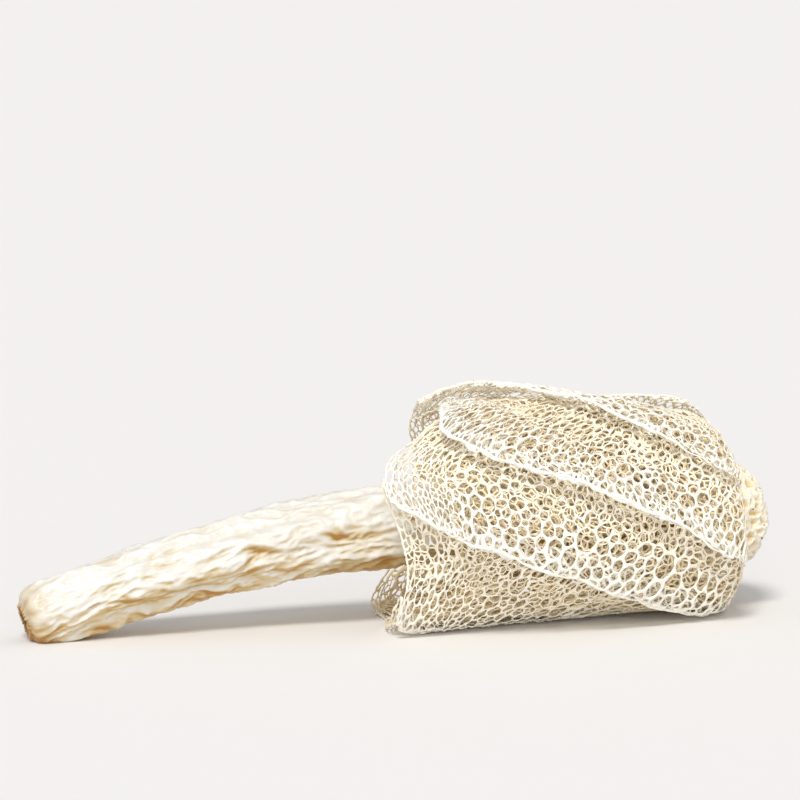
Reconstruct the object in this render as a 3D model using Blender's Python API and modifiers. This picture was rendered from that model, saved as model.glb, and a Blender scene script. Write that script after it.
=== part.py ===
"""Dried bamboo fungus, lying on its side.

A papery, wrinkled stem runs along X and arches up from its base end into a
lacy net skirt. The skirt is joined to the stem just under the pitted cap,
passes out over the cap's side, turns back and hangs down round the stem. The
stem's base end and the underside of the skirt rest on the surface at z = 0.
"""

import math
import random

import bmesh
import bpy
from mathutils import Vector
from mathutils.geometry import delaunay_2d_cdt

MM = 0.001
TURN = 2 * math.pi

# Overall length, from the stem's base end, which leans out a little at its top, to the cap's tip
LENGTH = 200 * MM
BASE_LEAN = 1.7 * MM
BASE_X = -LENGTH / 2 + BASE_LEAN
TIP_X = LENGTH / 2

# Arch of the centre line, and its slight bend to the front towards the base end
ARCH_TOP = Vector((35 * MM, 1.0 * MM, 27 * MM))
ARCH_REACH = 135 * MM
ARCH_FALL = 22.5 * MM
SIDE_BEND = 3 * MM

# Stem radius along its length, as distance from the base end and radius
STEM_PROFILE = [(0, 7.6), (5, 8.1), (14, 8.4), (38, 8.9), (75, 9.8),
                (105, 10.2), (140, 9.2), (166, 7.6), (188, 6.8)]
STEM_SIDES = 36
STEM_RINGS = 38
STEM_END_ROUNDING = 2.4 * MM
STEM_FLAT_BLEND = 0.5 * MM
STEM_TOP_X = TIP_X - 10 * MM

# Hole in the stem's base end, as depth and radius from its bottom to its flared mouth
BASE_HOLE = [(11, 0), (11, 1.3), (1.8, 1.9), (0.4, 2.85)]

# Wrinkles: share of the depth, number round the stem, where they start round it, how far they
# wander round it, and the length over which they do
WRINKLE_DEPTH = 1.0 * MM
WRINKLES = [(0.50, 5, 0.9, 2.6, 31), (0.36, 8, -1.7, 2.0, 19), (0.30, 3, 0.4, 1.8, 23)]
WRINKLES_START = 14 * MM
WRINKLES_FADE = (50 * MM, 66 * MM)

# Pitted cap on the top of the stem
CAP_RIM_X = TIP_X - 27 * MM
CAP_PROFILE = [(0, 13.2), (3, 15.0), (10, 15.8), (18, 14.6), (23, 11.8), (26, 7.6), (27, 3.0)]
CAP_PIT_PITCH = 5.4 * MM
CAP_SHORTEST_SIDE = 1.7 * MM
CAP_RIDGE = 0.55 * MM
CAP_PIT_SLOPE = 0.6 * MM
CAP_PIT_DEPTH = 1.7 * MM
CAP_SOCKET_GAP = 0.5 * MM
CAP_SOCKET_LEAD = 8 * MM

# Skirt: its length section from the stem, out over the cap's side and back to the hem,
# as distance along X and from the centre line
SLEEVE = [(67.5, 9.3), (66.0, 13.5), (69.0, 17.4), (77.0, 18.3), (85.5, 18.8), (90.5, 22.2),
          (85.5, 25.8), (71.0, 27.5), (48.0, 29.2), (22.0, 30.0), (2.0, 29.6), (-8.0, 28.2)]
SLEEVE_TOP_DRAWN_BACK = 7 * MM
SKIRT_WIDTH_SHARE = 1.10
SKIRT_HEIGHT_SHARE = 0.98
SKIRT_SWELL = 0.02
STRAND_WIDTH = 2.1 * MM
NET_PITCH = 7.2 * MM
NET_SHORTEST_SIDE = 1.6 * MM
SKIRT_FLAT_BLEND = 3 * MM

# Folds of the skirt: the angle of each one's crest, seen along X, where 90 degrees is up and
# 180 degrees is the front, how far each rises before its crest and how fast it drops after it
FOLD_CRESTS = [-35, 40, 108, 152, 198, 262]
FOLD_RAMP = 44
FOLD_DROP = 13
FOLD_RISE = 4.4 * MM
FOLD_SWEEP = 190

# Hem: how far its top and back are drawn back, the angles over which that starts and ends, how far
# its top corner is lifted and where that is, and its waves along X
HEM_DIP = 21 * MM
HEM_DIP_START = (-75, -10)
HEM_DIP_END = (96, 150)
HEM_LIFT = 3 * MM
HEM_LIFT_ANGLE = 112
HEM_WAVE = 1.8 * MM

# Share of the cells' pitch that the points they are drawn round keep apart
POINT_GAP_SHARE = 0.83
SEED = 11


def mix(a, b, t):
    return a + (b - a) * t


def smooth(low, high, x):
    """0 below low, 1 above high, and a smooth rise between them."""
    t = min(1, max(0, (x - low) / (high - low)))
    return t * t * (3 - 2 * t)


def spline(points, t):
    """Point at t, from 0 to 1, on a smooth curve through evenly numbered points."""
    last = len(points) - 1
    at = min(max(t, 0), 1) * last
    i = min(int(at), last - 1)
    a, b, c, d = (points[min(max(k, 0), last)] for k in (i - 1, i, i + 1, i + 2))
    f = at - i
    return tuple(
        0.5 * (2 * q + (r - p) * f + (2 * p - 5 * q + 4 * r - s) * f * f + (3 * q - p - 3 * r + s) * f ** 3)
        for p, q, r, s in zip(a, b, c, d)
    )


def table_value(table, x):
    """Value at x in a table of (position, value) pairs, easing from one to the next."""
    for (x0, v0), (x1, v1) in zip(table, table[1:]):
        if x <= x1:
            return mix(v0, v1, smooth(x0, x1, x))
    return table[-1][1]


def place(x, across, up):
    """Point off the centre line at x: across is sideways, and up is at right angles to the arch."""
    far = (x - ARCH_TOP.x) / ARCH_REACH
    tilt = math.atan(-2 * ARCH_FALL * far / ARCH_REACH)
    y = ARCH_TOP.y - SIDE_BEND * far * far
    z = ARCH_TOP.z - ARCH_FALL * far * far
    return Vector((x - up * math.sin(tilt), y + across, z + up * math.cos(tilt)))


def settle(z, floor, blend):
    """Height z pressed smoothly onto a floor, flat where it would be well below it."""
    if z >= floor + blend:
        return z
    if z <= floor - blend:
        return floor
    return floor + (z - floor + blend) ** 2 / (4 * blend)


def add_object(name, mesh, colour, roughness):
    """Object with its own material, in the fungus collection."""
    material = bpy.data.materials.new(name)
    material.use_nodes = True
    shader = material.node_tree.nodes["Principled BSDF"]
    shader.inputs["Base Color"].default_value = (*colour, 1)
    shader.inputs["Roughness"].default_value = roughness
    mesh.materials.append(material)
    obj = bpy.data.objects.new(name, mesh)
    bpy.data.collections["bamboo_fungus"].objects.link(obj)
    return obj


def evaluated_mesh(obj):
    """The object's mesh with its modifiers applied, and the object removed."""
    graph = bpy.context.evaluated_depsgraph_get()
    graph.update()
    mesh = bpy.data.meshes.new_from_object(obj.evaluated_get(graph))
    bpy.data.objects.remove(obj)
    return mesh


# Stem

def stem_radius(x):
    return table_value(STEM_PROFILE, (x - BASE_X) / MM) * MM


def wrinkle(x, angle):
    """Lengthwise creases that wander round the stem and die out towards both ends."""
    waves = sum(
        share * math.sin(count * angle + start + wander * math.sin(x / MM / length + start))
        for share, count, start, wander, length in WRINKLES
    )
    fade = smooth(BASE_X, BASE_X + WRINKLES_START, x) * (1 - smooth(*WRINKLES_FADE, x))
    return WRINKLE_DEPTH * waves * fade


def stem_outline():
    """Turned outline of the stem, from the bottom of the hole in its base end to its top."""
    edge = stem_radius(BASE_X)
    for depth, radius in BASE_HOLE:
        yield BASE_X + depth * MM, radius * MM
    for step in range(4):
        turn = step / 3 * math.pi / 2
        x = BASE_X + STEM_END_ROUNDING * (1 - math.cos(turn))
        yield x, edge - STEM_END_ROUNDING * (1 - math.sin(turn))
    start = BASE_X + 2 * STEM_END_ROUNDING
    for ring in range(STEM_RINGS):
        x = mix(start, STEM_TOP_X - MM, ring / (STEM_RINGS - 1))
        yield x, stem_radius(x)
    yield STEM_TOP_X, stem_radius(STEM_TOP_X) - MM
    yield STEM_TOP_X, 0


def make_stem():
    outline = bpy.data.meshes.new("stem_outline")
    points = list(stem_outline())
    outline.from_pydata([(x, r, 0) for x, r in points], [(i, i + 1) for i in range(len(points) - 1)], [])
    turned = bpy.data.objects.new("stem_outline", outline)
    bpy.context.scene.collection.objects.link(turned)
    screw = turned.modifiers.new("turn", "SCREW")
    screw.axis = "X"
    screw.steps = screw.render_steps = STEM_SIDES
    screw.use_merge_vertices = True
    screw.merge_threshold = 0.00005
    mesh = evaluated_mesh(turned)
    mouth = BASE_HOLE[-1][1] * MM
    for vertex in mesh.vertices:
        x, y, z = vertex.co
        r, angle = math.hypot(y, z), math.atan2(z, y)
        if r > 1.01 * mouth:
            r += wrinkle(x, angle)
        spot = place(x, r * math.cos(angle), r * math.sin(angle))
        spot.z = settle(spot.z, 0, STEM_FLAT_BLEND)
        vertex.co = spot
    mesh.shade_smooth()
    face_outwards(mesh)
    return add_object("stem", mesh, (0.86, 0.79, 0.62), 0.55)


def face_outwards(mesh):
    bm = bmesh.new()
    bm.from_mesh(mesh)
    bmesh.ops.recalc_face_normals(bm, faces=bm.faces)
    bm.to_mesh(mesh)
    bm.free()


# Cells of a net

def scatter(height, spacing, rng):
    """Points on a band that closes on itself after a full turn, none nearer than spacing(level)."""
    cells, points = {}, []
    size = min(spacing(height * k / 40) for k in range(41)) / 1.5
    columns = max(1, int(TURN / size))
    misses = 0
    while misses < 3000:
        angle, level = rng.uniform(0, TURN), rng.uniform(0, height)
        gap = spacing(level)
        column, row = int(angle / TURN * columns), int(level / size)
        reach = int(gap / size) + 2
        near = (
            cells.get(((column + i) % columns, row + j))
            for i in range(-reach, reach + 1)
            for j in range(-reach, reach + 1)
        )
        clear = all(
            math.hypot((angle - a + math.pi) % TURN - math.pi, level - b) >= gap
            for a, b in filter(None, near)
        )
        if clear and (column % columns, row) not in cells:
            cells[(column % columns, row)] = (angle, level)
            points.append((angle, level))
            misses = 0
        else:
            misses += 1
    return points


def net_polygons(points, height):
    """Corners and cells of the net that has one cell round each point: the duals of a triangulation."""
    count = len(points)
    copies, source = [], []
    for turn in (0, -1, 1):
        for side in (0, -1, 1):
            for index, (angle, level) in enumerate(points):
                a = angle + turn * TURN
                b = level if side == 0 else (-level if side < 0 else 2 * height - level)
                if -0.25 * TURN < a < 1.25 * TURN and -0.3 * height < b < 1.3 * height:
                    copies.append(Vector((a, b)))
                    source.append((index, turn, side))
    corners_2d, _, triangles, origins, _, _ = delaunay_2d_cdt(copies, [], [], 0, 1e-9)
    name = [source[o[0]] for o in origins]
    corners, number, around = [], {}, {}
    for triangle in triangles:
        real = [name[i] for i in triangle]
        if not any(side == 0 and turn == 0 for _, turn, side in real):
            continue
        shift = min(turn for _, turn, _ in real)
        key = frozenset((index, turn - shift, side) for index, turn, side in real)
        if key not in number:
            middle = sum((corners_2d[i] for i in triangle), Vector((0, 0))) / 3
            level = min(max(middle.y, 0), height)
            if any(side != 0 for _, _, side in real):
                level = 0 if middle.y < height / 2 else height
            number[key] = len(corners)
            corners.append((middle.x % TURN, level))
        for i in triangle:
            index, turn, side = name[i]
            if side == 0 and turn == 0:
                middle = sum((corners_2d[k] for k in triangle), Vector((0, 0))) / 3
                offset = middle - corners_2d[i]
                around.setdefault(index, []).append((math.atan2(offset.y, offset.x), number[key], middle))
    cells = [sorted(around[index], key=lambda entry: entry[0]) for index in range(count)]
    return corners, cells


def relaxed(points, height, rounds):
    """The points moved to the middles of their cells a few times, which evens the cells out."""
    for _ in range(rounds):
        _, cells = net_polygons(points, height)
        moved = []
        for cell in cells:
            middle = sum((entry[2] for entry in cell), Vector((0, 0))) / len(cell)
            moved.append((middle.x % TURN, min(max(middle.y, 0), height)))
        points = moved
    return points


class Band:
    """Levels along a length section, spaced so that a cell that is round on the band is round on the part."""

    def __init__(self, section, radius_of, steps=400):
        self.levels = [0]
        previous = section(0)
        for step in range(1, steps + 1):
            here = section(step / steps)
            stretch = math.hypot(here[0] - previous[0], here[1] - previous[1])
            self.levels.append(self.levels[-1] + stretch / radius_of(step / steps))
            previous = here
        self.height = self.levels[-1]

    def share(self, level):
        """How far along the section a level lies, from 0 to 1."""
        low, high = 0, len(self.levels) - 1
        while high - low > 1:
            middle = (low + high) // 2
            if self.levels[middle] <= level:
                low = middle
            else:
                high = middle
        part = (level - self.levels[low]) / max(1e-12, self.levels[high] - self.levels[low])
        return (low + min(max(part, 0), 1)) / (len(self.levels) - 1)


def net_mesh(name, band, radius_of, pitch, surface, seed, shortest):
    """Open mesh of net cells laid on a surface, with the very short sides between cells closed up."""
    rng = random.Random(seed)
    points = scatter(band.height, lambda level: POINT_GAP_SHARE * pitch / radius_of(band.share(level)), rng)
    points = relaxed(points, band.height, 3)
    corners, cells = net_polygons(points, band.height)
    bm = bmesh.new()
    verts = [bm.verts.new(surface(angle, band.share(level))) for angle, level in corners]
    for cell in cells:
        ring = [verts[entry[1]] for entry in cell]
        if len(set(ring)) == len(ring) > 2:
            bm.faces.new(ring)
    for vertex in [v for v in bm.verts if not v.link_faces]:
        bm.verts.remove(vertex)
    bmesh.ops.remove_doubles(bm, verts=bm.verts, dist=shortest)
    bmesh.ops.recalc_face_normals(bm, faces=bm.faces)
    mesh = bpy.data.meshes.new(name)
    bm.to_mesh(mesh)
    bm.free()
    return mesh


# Skirt

def sleeve(share):
    """Distance along X and from the centre line, at a share of the way from the stem to the hem."""
    x, radius = spline(SLEEVE, share)
    return x * MM, radius * MM


def skirt_radius(share):
    """Mean radius of the skirt, which sets how many cells fit round it."""
    return max(sleeve(share)[1], 10 * MM) * mix(1, 1.12, smooth(0.5, 0.8, share))


def fold_rise(angle):
    """Rise of the skirt's folds at an angle in degrees: a long ramp up to each crest and a short drop."""
    rise = 0
    for crest in FOLD_CRESTS:
        past = (angle - crest + 180) % 360 - 180
        ramp = smooth(-FOLD_RAMP, -0.15 * FOLD_DROP, past) * (1 - smooth(-0.15 * FOLD_DROP, FOLD_DROP, past))
        rise = max(rise, ramp)
    return FOLD_RISE * rise


def hem_shift(turn):
    """How far the hem lies back along X at a turn round it."""
    angle = (math.degrees(turn) + 110) % 360 - 110
    drawn_back = smooth(*HEM_DIP_START, angle) * (1 - smooth(*HEM_DIP_END, angle))
    return HEM_DIP * drawn_back + HEM_WAVE * math.sin(4 * turn + 1)


def skirt_surface(turn, share):
    """Point of the skirt at a turn round it and a share of the way from the stem to the hem."""
    x, radius = sleeve(share)
    turning = smooth(0.1, 0.42, share) * (1 - smooth(0.5, 0.85, share))
    x -= SLEEVE_TOP_DRAWN_BACK * turning * (1 + math.sin(turn)) / 2
    folded = smooth(0.36, 0.62, share)
    radius += folded * fold_rise(math.degrees(turn) + FOLD_SWEEP * (share - 0.78))
    radius *= 1 + SKIRT_SWELL * folded * math.sin(3 * turn + 6 * share)
    x += smooth(0.5, 1, share) * hem_shift(turn)
    corner = max(0, math.cos(turn - math.radians(HEM_LIFT_ANGLE)))
    radius += smooth(0.72, 1, share) * HEM_LIFT * corner ** 6
    spread = smooth(0.1, 0.4, share)
    across = radius * math.cos(turn) * mix(1, SKIRT_WIDTH_SHARE, spread)
    up = radius * math.sin(turn) * mix(1, SKIRT_HEIGHT_SHARE, spread)
    spot = place(x, across, up)
    spot.z = settle(spot.z, STRAND_WIDTH / 2, SKIRT_FLAT_BLEND)
    return spot


def make_skirt():
    band = Band(sleeve, skirt_radius)
    mesh = net_mesh("net_skirt", band, skirt_radius, NET_PITCH, skirt_surface, SEED, NET_SHORTEST_SIDE)
    skirt = add_object("net_skirt", mesh, (0.90, 0.84, 0.70), 0.6)
    strands = skirt.modifiers.new("strands", "WIREFRAME")
    strands.thickness = STRAND_WIDTH
    strands.use_boundary = True
    strands.use_even_offset = False
    strands.use_replace = True
    return skirt


# Cap

def cap_section(share):
    """Distance along X and radius of the cap, at a share of the way from its rim to its tip."""
    x, radius = spline(CAP_PROFILE, share)
    return CAP_RIM_X + x * MM, radius * MM


def cap_surface(turn, share):
    x, radius = cap_section(share)
    return place(x, radius * math.cos(turn), radius * math.sin(turn))


def cap_radius(share):
    """Radius of the cap, which sets how many pits fit round it, and more than it is at the tip."""
    return max(cap_section(share)[1], 4 * MM)


def make_socket_cutter():
    """Cylinder that opens the cap's underside for the top of the stem."""
    start = place(CAP_RIM_X - CAP_SOCKET_LEAD, 0, 0)
    end = place(STEM_TOP_X + CAP_SOCKET_GAP, 0, 0)
    way = end - start
    bpy.ops.mesh.primitive_cylinder_add(
        vertices=24,
        radius=stem_radius(CAP_RIM_X) + CAP_SOCKET_GAP,
        depth=way.length,
        location=(start + end) / 2,
        rotation=way.to_track_quat("Z", "Y").to_euler(),
    )
    cutter = bpy.context.object
    cutter.name = "socket_cutter"
    cutter.hide_render = True
    cutter.display_type = "WIRE"
    for collection in cutter.users_collection:
        collection.objects.unlink(cutter)
    bpy.data.collections["cutters"].objects.link(cutter)
    return cutter


def make_cap():
    band = Band(cap_section, cap_radius)
    mesh = net_mesh("cap", band, cap_radius, CAP_PIT_PITCH, cap_surface, SEED + 1, CAP_SHORTEST_SIDE)
    bm = bmesh.new()
    bm.from_mesh(mesh)
    pits = bm.faces[:]
    bmesh.ops.inset_individual(bm, faces=pits, thickness=CAP_RIDGE)
    bmesh.ops.inset_individual(bm, faces=pits, thickness=CAP_PIT_SLOPE, depth=-CAP_PIT_DEPTH)
    bmesh.ops.holes_fill(bm, edges=[e for e in bm.edges if e.is_boundary])
    bmesh.ops.triangulate(bm, faces=[f for f in bm.faces if len(f.verts) > 4])
    bmesh.ops.recalc_face_normals(bm, faces=bm.faces)
    bm.to_mesh(mesh)
    bm.free()
    cap = add_object("cap", mesh, (0.87, 0.76, 0.55), 0.65)
    cut = cap.modifiers.new("socket", "BOOLEAN")
    cut.operation = "DIFFERENCE"
    cut.object = make_socket_cutter()
    return cap


def main():
    for obj in list(bpy.data.objects):
        bpy.data.objects.remove(obj)
    for name in ("bamboo_fungus", "cutters"):
        bpy.context.scene.collection.children.link(bpy.data.collections.new(name))
    make_stem()
    make_skirt()
    make_cap()


main()
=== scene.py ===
# %% [markdown]
# # A dried bamboo fungus
# The real thing is a mushroom that grew with a net skirt under its cap and was dried whole. Three organs
# make it: a spongy stem with a papery skin, a lacy net skirt, and a small honeycombed cap. This file starts
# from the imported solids, which give the true size and place of each organ, and builds a fine surface for
# each one over them.

# %% Load the solids
import math
import random
import bmesh
import bpy
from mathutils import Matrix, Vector, noise
from mathutils.geometry import delaunay_2d_cdt


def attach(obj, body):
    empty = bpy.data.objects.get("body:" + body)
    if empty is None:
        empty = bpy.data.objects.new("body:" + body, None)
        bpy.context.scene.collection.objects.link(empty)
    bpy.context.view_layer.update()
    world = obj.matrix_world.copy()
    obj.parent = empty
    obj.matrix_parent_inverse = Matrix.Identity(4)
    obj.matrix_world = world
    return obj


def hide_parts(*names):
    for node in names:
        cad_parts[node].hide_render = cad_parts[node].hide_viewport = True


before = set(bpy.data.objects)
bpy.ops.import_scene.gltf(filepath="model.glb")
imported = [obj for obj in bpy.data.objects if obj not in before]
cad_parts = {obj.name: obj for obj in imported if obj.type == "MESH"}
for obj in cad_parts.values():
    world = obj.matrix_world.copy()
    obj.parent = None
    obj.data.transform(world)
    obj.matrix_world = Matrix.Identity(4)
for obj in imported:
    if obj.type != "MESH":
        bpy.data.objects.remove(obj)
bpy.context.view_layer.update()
# Without a seed, noise_vector starts from the clock, and every run would give another fungus
noise.seed_set(1)

# %% [markdown]
# ## Sizes
# The stem runs along X and arches up from its base end. Everything hangs on that arch, so it comes first: a
# point of any organ is given as a distance along X and an offset from the centre line, and `place` turns it
# into the frame. The numbers are the ones that the solids were built from, so the fine surfaces lie on
# them.

# %% The centre line
MM = 0.001
TURN = 2 * math.pi
LENGTH = 200 * MM
BASE_X = -LENGTH / 2 + 1.7 * MM
TIP_X = LENGTH / 2
ARCH_TOP = Vector((35 * MM, 1.0 * MM, 27 * MM))
ARCH_REACH = 135 * MM
ARCH_FALL = 22.5 * MM
SIDE_BEND = 3 * MM
print("stem from", round(BASE_X / MM, 1), "to", round(TIP_X / MM, 1), "mm along X")

# %% [markdown]
# Two small functions do the blending all through this file: `mix` goes evenly from one value to another,
# and `smooth` eases from 0 to 1 between two limits, so that no shape or tone starts with a kink.

# %% Blending
def mix(a, b, t):
    return a + (b - a) * t


def smooth(low, high, x):
    """0 below low, 1 above high, and a smooth rise between them."""
    t = min(1, max(0, (x - low) / (high - low)))
    return t * t * (3 - 2 * t)


print("a quarter of the way, eased:", smooth(0, 1, 0.25))

# %% [markdown]
# A bend could be put on a finished stem with a modifier, but the net and the cap have to follow the same
# arch exactly. So the arch is a function, and every point of every organ goes through it.

# %% The arch
def place(x, across, up):
    """Point off the centre line at x: across is sideways, and up is at right angles to the arch."""
    far = (x - ARCH_TOP.x) / ARCH_REACH
    tilt = math.atan(-2 * ARCH_FALL * far / ARCH_REACH)
    y = ARCH_TOP.y - SIDE_BEND * far * far
    z = ARCH_TOP.z - ARCH_FALL * far * far
    return Vector((x - up * math.sin(tilt), y + across, z + up * math.cos(tilt)))


print("base end of the centre line:", tuple(round(v / MM, 1) for v in place(BASE_X, 0, 0)), "mm")

# %% [markdown]
# The dried fungus lies on the ground and is pressed flat there, which `settle` does to a height. Outlines
# are given as a few measured points. `spline` runs a smooth curve through them, and `table_value` eases
# between the numbers of a table.

# %% Resting, outlines and tables
def settle(z, floor, blend):
    """Height z pressed smoothly onto a floor, flat where it would be well below it."""
    if z >= floor + blend:
        return z
    if z <= floor - blend:
        return floor
    return floor + (z - floor + blend) ** 2 / (4 * blend)


def spline(points, t):
    """Point at t, from 0 to 1, on a smooth curve through evenly numbered points."""
    last = len(points) - 1
    at = min(max(t, 0), 1) * last
    i = min(int(at), last - 1)
    a, b, c, d = (points[min(max(k, 0), last)] for k in (i - 1, i, i + 1, i + 2))
    f = at - i
    return tuple(
        0.5 * (2 * q + (r - p) * f + (2 * p - 5 * q + 4 * r - s) * f * f + (3 * q - p - 3 * r + s) * f ** 3)
        for p, q, r, s in zip(a, b, c, d)
    )


def table_value(table, x):
    """Value at x in a table of (position, value) pairs, easing from one to the next."""
    for (x0, v0), (x1, v1) in zip(table, table[1:]):
        if x <= x1:
            return mix(v0, v1, smooth(x0, x1, x))
    return table[-1][1]


def step_below(values, wanted):
    """Number of the last of these rising values, but one, that isn't above the wanted value."""
    low, high = 0, len(values) - 1
    while high - low > 1:
        middle = (low + high) // 2
        if values[middle] <= wanted:
            low = middle
        else:
            high = middle
    return low


print("a height of 0.1 mm below the floor settles at", round(settle(-0.1 * MM, 0, 0.5 * MM) / MM, 3), "mm")


# %% [markdown]
# ## Tools used by every piece
# Pieces are shaped the way one works by hand: add a primitive, go into edit mode, select by place, run an
# operator, and finish with modifiers that are applied. These helpers keep each of those steps to one line.

# %% Helpers for modelling
def deselect_all():
    if bpy.context.mode != "OBJECT":
        bpy.ops.object.mode_set(mode="OBJECT")
    bpy.ops.object.select_all(action="DESELECT")


def make_active(obj):
    deselect_all()
    obj.select_set(True)
    bpy.context.view_layer.objects.active = obj


def edit(obj, kind="FACE"):
    make_active(obj)
    bpy.ops.object.mode_set(mode="EDIT")
    bpy.ops.mesh.select_mode(type=kind)
    bpy.ops.mesh.select_all(action="DESELECT")


def select_faces(obj, test):
    """Selects the faces whose centre and normal pass the test, and returns how many there are."""
    bm = bmesh.from_edit_mesh(obj.data)
    for face in bm.faces:
        face.select = test(face.calc_center_median(), face.normal)
    bm.select_flush_mode()
    bmesh.update_edit_mesh(obj.data)
    return sum(face.select for face in bm.faces)


def apply_modifier(obj, kind, **settings):
    """Adds a modifier with these settings and applies it."""
    make_active(obj)
    modifier = obj.modifiers.new(kind.lower(), kind)
    for key, value in settings.items():
        setattr(modifier, key, value)
    bpy.ops.object.modifier_apply(modifier=modifier.name)


def subdivide_surface(obj, levels, kind="CATMULL_CLARK"):
    apply_modifier(obj, "SUBSURF", levels=levels, render_levels=levels, subdivision_type=kind)


def mesh_object(name, mesh):
    obj = bpy.data.objects.new(name, mesh)
    bpy.context.scene.collection.objects.link(obj)
    return obj


def store(obj, name, values):
    """Keeps one number for each vertex, which a material can read."""
    attribute = obj.data.attributes.new(name, "FLOAT", "POINT")
    attribute.data.foreach_set("value", values)


def count_triangles(obj):
    return sum(len(polygon.vertices) - 2 for polygon in obj.data.polygons)


# %% [markdown]
# ## Colours and materials
# A dried fungus is chitin: a pale skin, nearly white where light falls on it and golden where light has
# bounced about in creases and folds. Each material paints that light and shade into its colour: it mixes a
# near-white cream with a warm amber by a number stored on the mesh, which says how deep in a crease or a
# fold a point lies. The stem's skin also lets a little light through. On the thin strands of the net that
# turned the lace grey, so there the golden light of the folds is painted into the layers underneath.
# Metallic stays at 0 and the IOR at the shader's 1.5, which is near that of dry chitin.

# %% Helpers for materials
def linear(code):
    """Linear colour of an sRGB hex value."""
    channels = [int(code[i:i + 2], 16) / 255 for i in (0, 2, 4)]
    return (*(c / 12.92 if c <= 0.04045 else ((c + 0.055) / 1.055) ** 2.4 for c in channels), 1)


def add_node(material, kind, settings=None, links=None, **values):
    """Adds a node, with its own settings, the values of its sockets, and links from other nodes' outputs."""
    node = material.node_tree.nodes.new(kind)
    for key, value in (settings or {}).items():
        setattr(node, key, value)
    for key, value in values.items():
        node.inputs[int(key[1:]) if key[1:].isdigit() else key.replace("_", " ")].default_value = value
    for socket, output in (links or {}).items():
        material.node_tree.links.new(output, node.inputs[socket])
    return node


def new_material(name):
    material = bpy.data.materials.new(name)
    material.use_nodes = True
    return material, material.node_tree.nodes["Principled BSDF"]


def per_metre(size_mm):
    """Scale of a pattern whose features are this far apart."""
    return 1000 / size_mm


def set_stops(node, stops):
    """Gives a colour ramp its stops, each with a position and an sRGB hex value."""
    elements = node.color_ramp.elements
    while len(elements) < len(stops):
        elements.new(0.5)
    for element, (position, code) in zip(elements, stops):
        element.position = position
        element.color = linear(code)


print("linear value of the cream:", tuple(round(c, 3) for c in linear("f7f1e2")))


# %% [markdown]
# ### Papery stem skin
# The skin of the stem is a thin dry film over sponge, drawn into creases as the water left it. It has a low
# silky gloss and is cream white on its ridges. Shade is painted into its colour: the colour of straw in the
# creases and on the side turned to the ground. It has a brown ring where the base was cut from the ground.
# A plain cream colour would look like plaster, so the colour follows the creases.

# %% Material of the stem
def stem_skin():
    """Dried, papery fungus skin: to the eye, silky ridges, straw-coloured painted shade in the creases and on
    the underside, and a soiled base end.
    """
    material, shader = new_material("dried_papery_skin")
    where = add_node(material, "ShaderNodeTexCoord").outputs["Object"]
    # Painted shade: the stored depth, how deep in a crease a point lies or how far it is turned to the
    # ground, turns the skin from cream to amber
    painted_shade = add_node(material, "ShaderNodeAttribute", {"attribute_name": "depth"}).outputs["Fac"]
    base = add_node(material, "ShaderNodeAttribute", {"attribute_name": "base"}).outputs["Fac"]
    # Stained patches, about 9 mm across
    mottle = add_node(material, "ShaderNodeTexNoise", links={"Vector": where}, Scale=per_metre(9), Detail=5.0)
    uneven = add_node(
        material, "ShaderNodeMath", {"operation": "MULTIPLY_ADD"},
        {0: mottle.outputs["Fac"], 2: painted_shade}, _1=0.4
    )
    # The ramp runs from the cream of lit ridges to the amber of painted shade
    skin = add_node(material, "ShaderNodeValToRGB", links={"Fac": uneven.outputs[0]})
    set_stops(skin, [(0.25, "e7e5e0"), (0.5, "e0dacc"), (0.78, "d3bd8f"), (1.0, "b9873f")])
    # Brown soil on the cut end; the inside of the hole is dark brown
    soil_and_dark_hole = add_node(material, "ShaderNodeValToRGB", links={"Fac": base})
    set_stops(soil_and_dark_hole, [(0.0, "ffffff"), (0.35, "e9dcc2"), (0.7, "b5946a"), (1.0, "5f4128")])
    both = add_node(
        material, "ShaderNodeMix", {"data_type": "RGBA", "blend_type": "MULTIPLY"},
        {6: skin.outputs[0], 7: soil_and_dark_hole.outputs[0]}, _0=1.0
    )
    material.node_tree.links.new(both.outputs[2], shader.inputs["Base Color"])
    along = add_node(
        material, "ShaderNodeMapping", {"vector_type": "TEXTURE"}, {"Vector": where}, Scale=(3.5, 1.0, 1.0)
    )
    # The film's finest folds are about 1 mm apart, and are drawn 2.6 mm apart so that they show
    silky = add_node(
        material, "ShaderNodeTexNoise", {"noise_type": "RIDGED_MULTIFRACTAL"}, {"Vector": along.outputs[0]},
        Scale=per_metre(2.6), Detail=4.0, Distortion=0.6
    )
    bump = add_node(
        material, "ShaderNodeBump", links={"Height": silky.outputs["Fac"]}, Strength=0.8, Distance=0.25 * MM
    )
    material.node_tree.links.new(bump.outputs[0], shader.inputs["Normal"])
    shader.inputs["Roughness"].default_value = 0.36
    shader.inputs["Subsurface Weight"].default_value = 0.2
    shader.inputs["Subsurface Radius"].default_value = (1.0, 0.7, 0.4)
    shader.inputs["Subsurface Scale"].default_value = 0.9 * MM
    return material
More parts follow.
